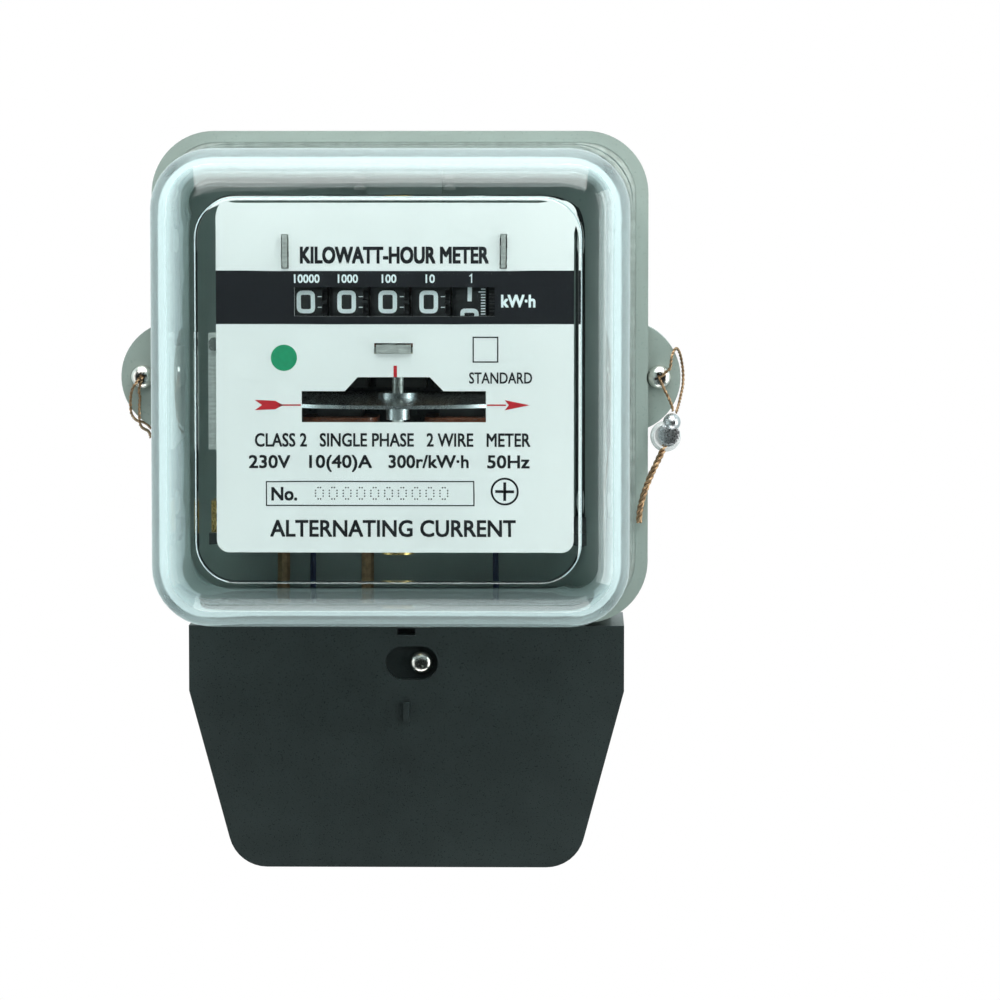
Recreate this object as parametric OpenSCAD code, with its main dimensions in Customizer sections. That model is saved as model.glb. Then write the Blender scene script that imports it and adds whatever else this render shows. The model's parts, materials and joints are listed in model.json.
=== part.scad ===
// Single-phase induction watt-hour meter with a pressed-glass cover and a cyclometer register.
// Millimetres. X points right, -Y points to the front and Z points up.
// The origin is on the wall face, level with the two cover screws. "Depth" is the distance
// in front of the wall, so depth 38 is y = -38.

/* [Case] */
// Width of the ring that holds the glass
ring_w = 127; // [125:0.5:129]
// Height of the ring
ring_h = 126; // [124:0.5:128]
// Corner radius of the ring
ring_r = 16; // [15:0.5:18]
// Depth of the ring's front face
ring_front = 38; // [37:0.5:39]
// Radius of the round lug that carries each cover screw
lug_r = 14.3; // [13:0.1:15]
// Distance from the centre to each cover screw
lug_screw_x = 66.4; // [65:0.1:67]
// Thickness of the base's walls
base_t = 3; // [2.5:0.1:3.2]

/* [Glass] */
// Depth of the glass cover's flat front
glass_front = 110; // [108:0.5:113]
// Thickness of the glass
glass_t = 3.8; // [3:0.1:4.2]
// Half width of the glass where it leaves the ring
glass_half = 59.6; // [59:0.1:59.8]
// Half width of the flat front
glass_flat = 46.2; // [45.5:0.1:47]
// Radius of the rolled front edge
glass_roll = 12; // [11:0.5:13]

/* [Terminal chamber] */
// Sideways place of the terminal chamber's centre
term_x = 1.5; // [0:0.1:2]
// Half width of the terminal cover
term_half = 56; // [55:0.5:57]
// Lowest edge of the terminal cover
term_bottom = -126.4; // [-128:0.1:-125]
// Distance between neighbouring terminals
term_pitch = 22; // [21.5:0.1:22.5]
// Radius of the hole that takes a service wire
wire_bore_r = 3.1; // [3.05:0.05:3.3]

/* [Rotor] */
// Radius of the aluminium disc
disc_r = 39; // [36:0.5:39.5]
// Thickness of the disc
disc_t = 0.9; // [0.8:0.1:1.4]
// Height of the disc
disc_z = -5; // [-5.2:0.1:-4.8]
// Depth of the rotor's axis
rotor_depth = 51; // [50.5:0.1:51]

/* [Register] */
// Radius of the number drums
drum_r = 11; // [10.8:0.1:11.2]
// Width of a number drum
drum_w = 7.3; // [7:0.1:7.3]
// Distance between neighbouring drums
drum_pitch = 10; // [10:0.1:10.2]
// Sideways place of the middle drum
drum_mid_x = -0.4; // [-1:0.1:0]
// Height of the drum axis
drum_z = 21; // [20.8:0.1:21.2]
// Depth of the drum axis
drum_depth = 82.5; // [82:0.1:82.6]

/* [Nameplate] */
// Width of the nameplate
plate_w = 87.4; // [86:0.1:88]
// Height of the nameplate
plate_h = 85.3; // [84:0.1:86]
// Sideways place of the nameplate's centre
plate_x = 1.1; // [0.8:0.1:1.5]
// Height of the nameplate's centre
plate_z = 2.4; // [2.2:0.1:2.6]
// Depth of the nameplate's front face
plate_front = 96; // [96:0.1:97]

/* [Hidden] */
$fn = 64;

// Clearance between neighbouring bodies, and between fixed pieces that nest
gap = 0.3;
nest = 0.1;

// Ring and base
skirt_t = 1.5;
skirt_back = 24;
lip_back = ring_front - 1.7;
flange_back = 33;
rim_top = 30.8;
lug_x = 57.6;
lug_front = 34;
base_w = ring_w - 2 * (skirt_t + gap);
base_h = ring_h - 2 * (skirt_t + gap);
base_r = ring_r - skirt_t - gap;
opening_half = 60.3;
roll_start = glass_front - glass_roll;

// Terminal chamber
term_top = -63.8;
term_waist = -80.7;
term_wall = 2.6;
term_corner = 10;
term_foot = 36;
block_front = 30;
block_top = -67.2;
block_bottom = -96;
neck_front = 22;
wire_depth = 14;
sleeve_r = 5;
sleeve_top = -69;
clamp_z = [-74, -88];
sleeve_x = [for (i = [-1.5:1:1.5]) term_x + i * term_pitch];
recess_x = 0.4;
seal_screw_x = 5.3;
seal_screw_z = -73.5;
recess_floor = 35;

// Mechanism
floor_front = base_t;
chassis_front = 6;
shelf_top = 38;
shelf_bottom = -41;
shelf_t = 3;
shelf_front = 62;
core_back = 16;
core_front = 30;
lever_x = 12;
lever_z = 32;
plate_t = 0.8;
plate_back = plate_front - plate_t;
yoke_x = -48;

// Gear train: the worm drives the first arbor 60 to 1, the second arbor turns 5 times slower
// and the units drum 10 times slower again, so 3000 disc turns make one turn of the units drum.
worm_m = 0.25;
worm_teeth = 60;
worm_lead = PI * worm_m;
worm_turns = 9.5;
worm_length = worm_turns * worm_lead;
worm_r = 1.7;
worm_ecc = 0.25;
first_m = 0.3;
drum_gear_m = 0.28;
carry_m = 1;
first_z = 16;
first_depth = rotor_depth + 9.25;
first_reach = first_m * (12 + 60) / 2;
drum_reach = drum_gear_m * (8 + 80) / 2;
carry_reach = carry_m * (8 + 20) / 2;

// The axes of the train as [y, z]
first_axis = [-first_depth, first_z];
drum_axis = [-drum_depth, drum_z];
second_axis = meet(first_axis, drum_axis, first_reach, drum_reach);
carry_axis = drum_axis + carry_reach * [cos(45), sin(45)];
drum_x = [for (i = [2:-1:-2]) drum_mid_x + i * drum_pitch];
frame_left = -28;
frame_right = 33;
frame_t = 1.5;

// Routes of the leads inside the case, as [x, y, z]
current_lead_1 = [
    [-31.5, -14, -69], [-31.5, -14, -50], [-31.5, -14, -34], [-31.5, -14.6, -27], [-30.9, -16, -23],
    [-29.2, -17.3, -20.8], [-27.4, -17.5, -20.6], [-25.95, -17.5, -20.6]
];
current_lead_2 = [
    [-9.5, -14, -69], [-9.5, -14, -50], [-9.5, -14, -40], [-8.2, -13.9, -35.5], [-4, -13.8, -31.5],
    [2, -13.8, -29.8], [7, -13.8, -29.2], [9.6, -13.8, -28], [10.2, -13.8, -26.6],
    [10.2, -13.8, -25.02]
];
voltage_lead = [
    [24, -12, -57], [24, -10.6, -54], [24, -10, -48], [24, -10, -36], [27, -10, -28],
    [33, -10, -16], [33.5, -10.5, 4], [30, -11.4, 12], [24, -12, 15.5], [16, -12.6, 16],
    [12.92, -12.6, 16]
];

// Sealing wires, as [x, y, z]
wire_r = 0.45;
right_wire = [
    [69.1, -36.9, 2.4], [69.4, -36.8, 4.2], [69.8, -35.8, 6], [70.6, -34.4, 7.3], [71.3, -32.4, 6.9],
    [72, -30.6, 5], [72.6, -29.6, 1.5], [72.6, -30, -2], [72, -31.6, -5], [71.3, -34, -7.6],
    [70.8, -35.8, -9]
];
right_wire_low = [[67.9, -36.9, -3.4], [68.8, -37.2, -5.2], [69.6, -37.2, -7.2], [69.9, -36.9, -8.6]];
right_tail = [
    [66.4, -39.4, -20.4], [65.3, -40, -22.6], [63.9, -40.3, -25.6], [62.8, -40.2, -28.6],
    [61.9, -40, -31.6], [61.4, -39.8, -34.2], [61.2, -39.6, -37]
];
tail_r = 0.85;
left_wire = [
    [-68.8, -36.2, -2.9], [-69.3, -35.7, -4.6], [-69.5, -35, -6.6], [-69.4, -34.8, -9],
    [-69, -33.4, -10.4], [-68.3, -30, -11.5], [-67.4, -24, -12.2], [-66.6, -19, -13.2],
    [-66.2, -16.4, -14.2]
];
left_wire_low = [
    [-67.2, -36, -3.6], [-67, -35.3, -5.4], [-67.2, -34.9, -7.4], [-67.2, -34.8, -11.4],
    [-66.9, -33.2, -12.9], [-66.6, -28, -13.8], [-66.3, -22, -14.6], [-66.2, -18, -15.6],
    [-66.2, -16.4, -16.6]
];

// ---------------------------------------------------------------- shapes used by many pieces

// Extrudes an outline drawn in x and z from one depth to another.
module front(d0, d1) {
    translate([0, -d0, 0]) rotate([90, 0, 0]) linear_extrude(d1 - d0) children();
}

// Extrudes an outline drawn in y and z along x, about an axis [y, z].
module across(x0, x1, axis = [0, 0]) {
    translate([x0, axis[0], axis[1]]) rotate([90, 0, 90]) linear_extrude(x1 - x0) children();
}

module rod_y(x, z, r, d0, d1) {
    front(d0, d1) translate([x, z]) circle(r);
}

module rod_x(axis, r, x0, x1) {
    translate([x0, axis[0], axis[1]]) rotate([0, 90, 0]) cylinder(r = r, h = x1 - x0);
}

module rod_z(x, depth, r, z0, z1) {
    translate([x, -depth, z0]) cylinder(r = r, h = z1 - z0);
}

module block(x0, x1, d0, d1, z0, z1) {
    translate([x0, -d1, z0]) cube([x1 - x0, d1 - d0, z1 - z0]);
}

module round_rect(w, h, r) {
    square([w - 2 * r, h], center = true);
    square([w, h - 2 * r], center = true);
    for (x = [-1, 1], z = [-1, 1])
        translate([x * (w / 2 - r), z * (h / 2 - r)]) circle(r);
}

// A rounded frame around a limb, wound about z: half sizes in x and depth.
module winding(x, depth, half_x, half_d, t, r, z0, z1) {
    translate([x, -depth, z0]) linear_extrude(z1 - z0) difference() {
        round_rect(2 * (half_x + t), 2 * (half_d + t), r);
        square([2 * half_x, 2 * half_d], center = true);
    }
}

// A screw along y: shank to the back, head to the front, with a cross recess or a slot.
module screw_y(x, z, shank_r, head_r, d0, head_back, head_front, cross = true) {
    difference() {
        union() {
            rod_y(x, z, shank_r, d0, head_back);
            rod_y(x, z, head_r, head_back, head_front);
        }
        for (turn = cross ? [0, 90] : [0])
            front(head_front - 0.9, head_front + 1) translate([x, z]) rotate(turn + 20)
                square([cross ? head_r * 1.1 : head_r * 2.2, head_r * 0.26], center = true);
    }
}

// Outline of a gear with straight-sided teeth, one of them at the angle given.
module gear(teeth, m, angle = 0, add = 0.7, ded = 1.05) {
    tip = m * (teeth / 2 + add);
    root = m * (teeth / 2 - ded);
    step = 360 / teeth;
    polygon([for (i = [0:teeth - 1], p = [[root, -0.23], [tip, -0.11], [tip, 0.11], [root, 0.23]])
        p[0] * [cos(angle + (i + p[1]) * step), sin(angle + (i + p[1]) * step)]]);
}

// The point at distance ra from a and rb from b, on the lower side.
function meet(a, b, ra, rb) =
    let (d = norm(b - a), u = (b - a) / d, t = (ra * ra - rb * rb + d * d) / (2 * d),
         side = sqrt(ra * ra - t * t))
    a + t * u + side * [-u[1], u[0]] * (u[0] < 0 ? 1 : -1);

function aim(a, b) = atan2(b[1] - a[1], b[0] - a[0]);

function arc(x, z, r, a0, a1, n = 8) = [for (i = [0:n]) [x, z] + r * [cos(a0 + (a1 - a0) * i / n),
    sin(a0 + (a1 - a0) * i / n)]];

function unit(v) = v / norm(v);

// A round wire swept along a route.
module wire(route, r, sides = 8) {
    last = len(route) - 1;
    way = [for (i = [0:last]) unit(route[min(i + 1, last)] - route[max(i - 1, 0)])];
    side = [for (i = [0:last]) unit(cross(way[i], [0.31, 0.2, 0.93]))];
    rings = [for (i = [0:last], k = [0:sides - 1]) let (a = 360 * k / sides)
        route[i] + r * (cos(a) * side[i] + sin(a) * cross(way[i], side[i]))];
    walls = [for (i = [0:last - 1], k = [0:sides - 1], half = [0, 1])
        let (n = (k + 1) % sides, a = i * sides, b = a + sides)
        half == 0 ? [a + k, b + k, b + n] : [a + k, b + n, a + n]];
    caps = [[for (k = [0:sides - 1]) k], [for (k = [sides - 1:-1:0]) last * sides + k]];
    polyhedron(rings, concat(walls, caps));
}

// Outline of the terminal chamber, drawn in by an inset: straight sides, a taper and round feet.
module term_outline(inset, top, bottom_in = 0) {
    half = term_half - inset;
    r = term_corner - inset;
    foot = [term_foot, term_bottom + term_corner + bottom_in];
    corner = [half, term_waist];
    turn = aim(foot, corner) - acos(r / norm(corner - foot));
    right = concat([[half, top], corner], arc(foot[0], foot[1], r, turn, -90));
    translate([term_x, 0]) polygon(concat(right,
        [for (i = [len(right) - 1:-1:0]) [-right[i][0], right[i][1]]]));
}

module lug_outline(r) {
    for (side = [-1, 1]) translate([side * lug_x, 0]) circle(r);
}

// ---------------------------------------------------------------- fixed case

module base_shell() {
    color("#84948a") difference() {
        union() {
            front(0, floor_front) round_rect(base_w, base_h, base_r);
            front(floor_front, rim_top) difference() {
                round_rect(base_w, base_h, base_r);
                round_rect(base_w - 2 * base_t, base_h - 2 * base_t, base_r - base_t);
            }
            front(8, skirt_back - gap) difference() {
                lug_outline(lug_r - 0.4);
                round_rect(base_w - 1, base_h - 1, base_r);
            }
            front(0, floor_front) difference() {
                term_outline(term_wall + 0.6, -58, 5);
                translate([term_x - 60, -140]) square([120, 22]);
            }
            block(-10, 10, floor_front, 8, 44, 57.4);
        }
        for (side = [-1, 1]) {
            rod_y(side * lug_screw_x, 0, 2, 10, 30);
            rod_y(term_x + side * 30, -107, 2.75, -1, floor_front + 1);
            rod_y(term_x + side * term_pitch, -80, 2.05, 0.6, floor_front + 1);
            rod_y(side * 11.8, 53, 1.25, 0, 10);
            for (z = [-34, 34]) rod_y(side * 42, z, 1.75, 0.6, floor_front + 1);
        }
        block(term_x - 38.3, term_x + 38.3, floor_front, neck_front + gap, -62, -57);
        block(-14.3, 14.3, -1, 1.9, 43.2, 57.3);
        block(-8, 8, 1, 6.5, 45, 56.4);
    }
}

module hanger_bracket() {
    color("#b9bcb6") difference() {
        block(-14, 14, 0.2, 1.7, 43.5, 57);
        rod_y(0, 48.5, 3.2, -1, 3);
        rod_y(0, 52.5, 1.8, -1, 3);
        block(-1.8, 1.8, -1, 3, 48.5, 52.5);
        for (side = [-1, 1]) rod_y(side * 11.8, 53, 1.25, -1, 3);
    }
}

module hanger_rivets() {
    color("#c9cbc6") for (side = [-1, 1]) {
        rod_y(side * 11.8, 53, 1.2, 0.3, 3.1);
        rod_y(side * 11.8, 53, 1.7, 3, 3.9);
    }
}

module terminal_block() {
    color("#26211e") difference() {
        union() {
            block(term_x - 44, term_x + 44, floor_front, block_front, block_bottom, block_top);
            block(term_x - 38, term_x + 38, floor_front, neck_front, block_top, -57);
        }
        for (x = sleeve_x) {
            rod_z(x, wire_depth, sleeve_r + nest, block_bottom - 1, sleeve_top);
            for (z = clamp_z) rod_y(x, z, 3.8, wire_depth + 3, block_front + 1);
        }
        for (x = [sleeve_x[0], sleeve_x[1]]) rod_z(x, wire_depth, 2.1, -70, -56);
        block(sleeve_x[2] - 3, sleeve_x[3] + 3, wire_depth - 2, wire_depth + 2, sleeve_top - 1,
            sleeve_top + 1.8);
        for (side = [-1, 1]) {
            rod_y(term_x + side * term_pitch, -80, 2.1, 0, block_front + 1);
            rod_y(term_x + side * term_pitch, -80, 3.8, 24, block_front + 1);
        }
        rod_y(seal_screw_x, seal_screw_z, 2.05, 23, block_front + 1);
        block(sleeve_x[0] - 2.7, sleeve_x[0] + 12.7, 28.5, block_front + 1, -82.6, -77.4);
    }
}

module terminal_block_screws() {
    color("#c4c6c0") for (side = [-1, 1])
        screw_y(term_x + side * term_pitch, -80, 2, 3.6, 0.8, 24, 26.6);
}

module terminal_sleeves() {
    color("#c8a24a") for (x = sleeve_x) difference() {
        rod_z(x, wire_depth, sleeve_r, block_bottom + 1, sleeve_top);
        rod_z(x, wire_depth, wire_bore_r, block_bottom, sleeve_top - 2);
        for (z = clamp_z) rod_y(x, z, 1.95, wire_depth, wire_depth + 6);
    }
}

module terminal_screws() {
    color("#d0b060") for (x = sleeve_x, z = clamp_z)
        screw_y(x, z, 1.85, 3.3, wire_depth + 3.4, 24, 27, false);
}

module neutral_bar() {
    color("#c8a24a")
        block(sleeve_x[2] - 2.8, sleeve_x[3] + 2.8, wire_depth - 1.8, wire_depth + 1.8,
            sleeve_top, sleeve_top + 1.6);
}

module voltage_link() {
    color("#d8b45c") {
        difference() {
            block(sleeve_x[0] - 2.5, sleeve_x[0] + 12.5, 28.5, 29.5, -82.4, -77.6);
            rod_y(sleeve_x[0] + 9.5, -80, 1.3, 28, 30);
        }
        screw_y(sleeve_x[0] + 9.5, -80, 1.2, 2.2, 28.6, 29.5, 31);
    }
}

// ---------------------------------------------------------------- chassis and magnets

module chassis() {
    color("#9a9d98") difference() {
        union() {
            block(-46, 46, floor_front, chassis_front, -44, 43);
            block(-42, 42, chassis_front, shelf_front, shelf_top, shelf_top + shelf_t);
            block(-48, 48, chassis_front, shelf_front, shelf_bottom, shelf_bottom + shelf_t);
            for (side = [-1, 1]) {
                x0 = side * 33.5 - 3.5;
                block(x0, x0 + 7, shelf_front, plate_back, shelf_top, shelf_top + 1.6);
                block(x0, x0 + 7, plate_back - 1.5, plate_back, 33, shelf_top);
                block(x0, x0 + 7, shelf_front, plate_back, -39.6, -38);
                block(x0, x0 + 7, plate_back - 1.5, plate_back, -38, -33);
                rod_y(side * 25.5, 32, 3.6, chassis_front, core_back);
                rod_y(side * 16, -30, 3.4, chassis_front, core_back);
            }
        }
        rod_z(0, rotor_depth, 3.05, shelf_bottom - 1, shelf_bottom + 4);
        rod_z(0, rotor_depth, 2.55, shelf_top - 1, shelf_top + 4);
        for (side = [-1, 1]) {
            rod_y(side * 25.5, 32, 1.5, 7, core_back + 1);
            rod_y(side * 16, -30, 1.5, 7, core_back + 1);
            rod_z(side * 20, 58.5, 1.3, shelf_top - 1, shelf_top + 4);
            rod_z(side * 24, 10, 1.3, shelf_bottom - 1, shelf_bottom + 4);
            for (z = [-34, 34]) rod_y(side * 42, z, 1.8, 2, chassis_front + 1);
        }
        rod_y(-41.5, -13, 1.5, 2, chassis_front + 1);
        rod_y(-41.5, 3, 1.5, 2, chassis_front + 1);
        for (x = [sleeve_x[0], sleeve_x[1]])
            rod_z(x, wire_depth, 2.3, shelf_bottom - 1, shelf_bottom + 4);
    }
}

module chassis_screws() {
    color("#c4c6c0") for (x = [-42, 42], z = [-34, 34])
        screw_y(x, z, 1.65, 3, 0.8, chassis_front, 8.2);
}

// The voltage magnet's stack: a back bar, two outer limbs with pole tips and a middle limb.
module voltage_core() {
    color("#5f6462") front(core_back, core_front) difference() {
        translate([-30, -2.8]) square([60, 38.8]);
        for (side = [-1, 1]) {
            translate([side * 13.75, 16.5]) square([14.5, 23], center = true);
            translate([side * 7.5, 1]) square([2, 10], center = true);
            translate([side * 25.5, 32]) circle(1.6);
        }
        translate([lever_x, lever_z]) circle(1.07);
    }
}

module coil_bobbin() {
    color("#d9cfae") {
        for (z = [6, 25.5]) winding(0, 23, 6.6, 7.1, 7, 3, z, z + 1.5);
        winding(0, 23, 6.6, 7.1, 0.8, 1, 7.5, 25.5);
    }
}

module voltage_coil() {
    color("#7a3b22") winding(0, 23, 7.5, 8, 5.4, 3, 7.6, 25.4);
}

module current_core() {
    color("#5f6462") front(core_back, core_front) difference() {
        translate([-22, -34]) square([44, 26.6]);
        translate([-10, -26]) square([20, 20]);
        for (side = [-1, 1]) translate([side * 16, -30]) circle(1.6);
    }
}

module current_coils() {
    color("#b8703a") for (side = [-1, 1]) {
        winding(side * 16, 23, 6.3, 7.3, 0.8, 1, -25, -10.3);
        for (i = [0:4]) winding(side * 16, 23, 6.9, 7.9, 3, 3.4, -25 + 3 * i, -22.4 + 3 * i);
    }
}

module current_leads() {
    color("#b8703a") {
        wire(current_lead_1, 1.7);
        wire(current_lead_2, 1.7);
    }
}

module voltage_leads() {
    color("#3a4a8c") {
        wire(voltage_lead, 0.8);
        wire([for (p = voltage_lead) [-p[0], p[1], p[2]]], 0.8);
    }
}

module core_screws() {
    color("#c4c6c0") for (side = [-1, 1]) {
        screw_y(side * 25.5, 32, 1.45, 2.8, 8, core_front, core_front + 2);
        screw_y(side * 16, -30, 1.45, 2.8, 8, core_front, core_front + 2);
    }
}

module magnet_yoke() {
    color("#8f938f") difference() {
        union() {
            block(yoke_x, yoke_x + 3, chassis_front, 62, -17, 7);
            block(yoke_x + 3, -38.5, chassis_front, 8, -17, 7);
            block(yoke_x, yoke_x + 4, 54, 62, 7, 12.2);
        }
        rod_y(-46, 9.6, 0.98, 50, 63);
        rod_y(-41.5, -13, 1.5, 5, 9);
        rod_y(-41.5, 3, 1.5, 5, 9);
    }
}

module brake_magnets() {
    color("#4c5250") {
        block(yoke_x + 3, -28, 42, 58, -3, 6);
        block(yoke_x + 3, -28, 42, 58, -16, -7);
    }
}

module yoke_screws() {
    color("#c4c6c0") for (z = [-13, 3]) screw_y(-41.5, z, 1.45, 2.5, 3.2, 8, 9.6);
}

module lag_adjuster() {
    color("#b9963c") {
        block(-47.6, -43.6, 50, 60, shelf_bottom + shelf_t, -30);
        rod_y(-45.6, -33, 1.4, 60, 63);
    }
}

module lower_bearing() {
    color("#cbb070") difference() {
        union() {
            rod_z(0, rotor_depth, 3, -45, -34.2);
            rod_z(0, rotor_depth, 4.2, -45, -41.2);
        }
        rod_z(0, rotor_depth, 0.6, -37, -33);
    }
}

module upper_bearing() {
    color("#cbb070") difference() {
        union() {
            rod_z(0, rotor_depth, 2.5, 33, 43.5);
            rod_z(0, rotor_depth, 3.6, shelf_top + shelf_t, 43.5);
        }
        rod_z(0, rotor_depth, 0.58, 32, 38);
    }
}

module light_load_lever() {
    color("#b6b9b2") {
        rod_y(lever_x, lever_z, 2.4, 31.2, 32.4);
        block(-2, lever_x, 31.2, 32.4, lever_z - 1, lever_z + 1);
        rod_y(lever_x, lever_z, 1, 27, 33.4);
        rod_y(-0.5, lever_z, 0.9, 32.3, 34);
    }
}

// ---------------------------------------------------------------- nameplate and register

module nameplate() {
    color("#e4ebe9") front(plate_back, plate_front) difference() {
        translate([plate_x, plate_z]) round_rect(plate_w, plate_h, 3.2);
        translate([1, 21.1]) square([48.8, 7.1], center = true);
        translate([0.8, -4.5]) square([45, 7.6], center = true);
        polygon([[-11.4, -1], [-8, 2.7], [9.6, 2.7], [13.2, -1]]);
        for (x = [-25.6, 27.5]) translate([x, 33.4]) square([1.8, 8.4], center = true);
        translate([0.75, 9.7]) square([9.4, 2.6], center = true);
    }
}

module register_frame() {
    color("#a9aca6") difference() {
        union() {
            block(frame_left - frame_t, frame_right + frame_t, 54.5, 92, 36.8, shelf_top);
            for (x = [frame_left - frame_t, frame_right])
                across(x, x + frame_t) polygon([[-93, 14], [-93, 36.8], [-66, 36.8], [-56, 26],
                    [-56, 10], [-64, 4.5], [-86, 4.5], [-90, 8]]);
            for (x = [-26.2, 26.9]) block(x, x + 1.2, 88, plate_front + 1, 33.4, 36.8);
            for (x = [-26.2, 26.9]) block(x, x + 1.2, 93.9, plate_front + 1, 29.4, 37.4);
            block(frame_left, frame_right, 86, 89.6, 8.5, 9.7);
            block(-3.5, 5, 89.6, plate_front + 1, 8.5, 9.7);
            block(-3.5, 5, plate_back, plate_front + 1, 9.7, 10.6);
        }
        for (x = [-20, 20]) rod_z(x, 58.5, 1.15, 36, 39);
        rod_x(drum_axis, 1.52, frame_left - 3, frame_right + 3);
        rod_x(carry_axis, 1.02, frame_left - 3, frame_right + 3);
        rod_x(first_axis, 0.88, frame_left - 3, frame_right + 3);
        rod_x(second_axis, 0.88, frame_left - 3, frame_right + 3);
    }
}

module register_screws() {
    color("#c4c6c0") for (x = [-20, 20]) {
        rod_z(x, 58.5, 1.1, 35.5, shelf_top + shelf_t);
        rod_z(x, 58.5, 2.2, shelf_top + shelf_t, shelf_top + shelf_t + 1.4);
    }
}

module drum_shaft() {
    color("#c9ccc8") rod_x(drum_axis, 1.5, frame_left - 2, frame_right + 2);
}

module transfer_shaft() {
    color("#c9ccc8") rod_x(carry_axis, 1, frame_left - 2, frame_right + 2);
}

// One number drum. place counts from the units drum; every drum but the last locks the pinion
// to its left and every drum but the first carries a ring of 20 teeth on its right.
module drum(place) {
    x = drum_x[place];
    half = drum_w / 2;
    color("#1c1e20") difference() {
        union() {
            rod_x(drum_axis, drum_r, x - half, x + half);
            if (place < 4) rod_x(drum_axis, 8.8, x - half - 1, x - half);
            if (place > 0) across(x + half, x + half + 1.2, drum_axis)
                gear(20, carry_m, aim(drum_axis, carry_axis) + 9);
            if (place == 0) {
                rod_x(drum_axis, 5, x + half, x + half + 0.8);
                across(x + half + 0.8, x + half + 2.4, drum_axis)
                    gear(80, drum_gear_m, aim(drum_axis, second_axis) + 2.25);
            }
        }
        rod_x(drum_axis, 1.56, x - 10, x + 10);
    }
}

module transfer_pinion(place) {
    x = (drum_x[place] + drum_x[place - 1]) / 2;
    color("#d8d4c6") difference() {
        across(x - 1.2, x + 1.2, carry_axis) gear(8, carry_m, aim(carry_axis, drum_axis));
        rod_x(carry_axis, 1.06, x - 3, x + 3);
    }
}

// ---------------------------------------------------------------- rotor and gear train

module rotor_disc() {
    color("#aebfc2") difference() {
        rod_z(0, rotor_depth, disc_r, disc_z - disc_t / 2, disc_z + disc_t / 2);
        rod_z(0, rotor_depth, 3.02, disc_z - 2, disc_z + 2);
    }
}

module disc_hub() {
    color("#d9d6cc") difference() {
        union() {
            rod_z(0, rotor_depth, 3, disc_z - 5, disc_z + disc_t / 2 + 0.1);
            rod_z(0, rotor_depth, 6, disc_z - disc_t / 2 - 1.4, disc_z - disc_t / 2);
            rod_z(0, rotor_depth, 5, disc_z + disc_t / 2, disc_z + disc_t / 2 + 1.4);
        }
        rod_z(0, rotor_depth, 1.52, disc_z - 6, disc_z + 4);
    }
}

module rotor_spindle() {
    color("#b8bcbc") {
        rod_z(0, rotor_depth, 1.5, -33.9, first_z - worm_length / 2);
        rod_z(0, rotor_depth, 0.5, -36.6, -33.8);
    }
}

// The worm is cut on the spindle's upper end, which also carries the top pivot.
module rotor_worm() {
    bottom = first_z - worm_length / 2;
    color("#c9a94f") {
        translate([0, -rotor_depth, bottom])
            linear_extrude(worm_length, twist = -360 * worm_turns, slices = 8 * worm_turns, $fn = 12)
                translate([worm_ecc, 0]) circle(worm_r);
        rod_z(0, rotor_depth, 1.5, bottom + worm_length, 32.4);
        rod_z(0, rotor_depth, 0.5, 32.3, 36.8);
    }
}

module worm_wheel() {
    color("#d2b25a") difference() {
        across(-0.8, 0.8, first_axis) gear(worm_teeth, worm_m, 3, 0.45, 1.1);
        rod_x(first_axis, 0.82, -2, 2);
    }
}

module first_arbor() {
    color("#c9ccc8") {
        rod_x(first_axis, 0.8, frame_left - 2, frame_right + 2);
        across(29, 31.4, first_axis) gear(12, first_m, aim(first_axis, second_axis));
    }
}

module second_gear() {
    color("#d2b25a") difference() {
        across(29.4, 31, second_axis) gear(60, first_m, aim(second_axis, first_axis) + 3);
        rod_x(second_axis, 0.82, 28, 32);
    }
}

module second_arbor() {
    x = drum_x[0] + drum_w / 2;
    color("#c9ccc8") {
        rod_x(second_axis, 0.6, frame_left - 2, x);
        rod_x(second_axis, 0.8, frame_left - 2, frame_left + 3);
        across(x + 0.4, x + 2.8, second_axis) gear(8, drum_gear_m, aim(second_axis, drum_axis));
        rod_x(second_axis, 0.6, x, x + 3);
        rod_x(second_axis, 0.8, x + 2.8, frame_right + 2);
    }
}

module full_load_screw() {
    color("#d8dad4") screw_y(-46, 9.6, 0.9, 1.7, 52, 62.3, 66, false);
}

// ---------------------------------------------------------------- lift-off cover

module cover_ring() {
    color("#93a39b") difference() {
        union() {
            front(skirt_back, ring_front) round_rect(ring_w, ring_h, ring_r);
            front(skirt_back, lug_front) lug_outline(lug_r);
        }
        front(skirt_back - 1, lip_back)
            round_rect(ring_w - 2 * skirt_t, ring_h - 2 * skirt_t, ring_r - skirt_t);
        front(lip_back - 1, ring_front + 1)
            round_rect(2 * opening_half, 2 * opening_half - 0.4, ring_r - 2.5);
        for (side = [-1, 1]) {
            rod_y(side * lug_screw_x, 0, 2, skirt_back - 1, lug_front + 1);
            rod_y(side * lug_screw_x, 0, 3.3, lug_front, ring_front + 1);
        }
    }
}

// The gasket lies under the glass, and a bead of the same rubber fills the ring's opening around it.
module cover_gasket() {
    color("#9aa8a2") {
        front(rim_top + 0.2, flange_back) difference() {
            round_rect(base_w - 0.6, base_h - 0.6, base_r - 0.3);
            round_rect(base_w - 7, base_h - 7, base_r - 3.5);
        }
        front(lip_back + nest, ring_front - 0.2) difference() {
            round_rect(2 * opening_half - nest, 2 * opening_half - 0.4 - nest, ring_r - 2.5);
            round_rect(2 * glass_half + nest, 2 * glass_half + nest, 15);
        }
    }
}

// One level of the glass shell, drawn in by an inset.
module glass_level(depth, half, r) {
    front(depth, depth + 0.02) round_rect(2 * half, 2 * half, r);
}

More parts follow.
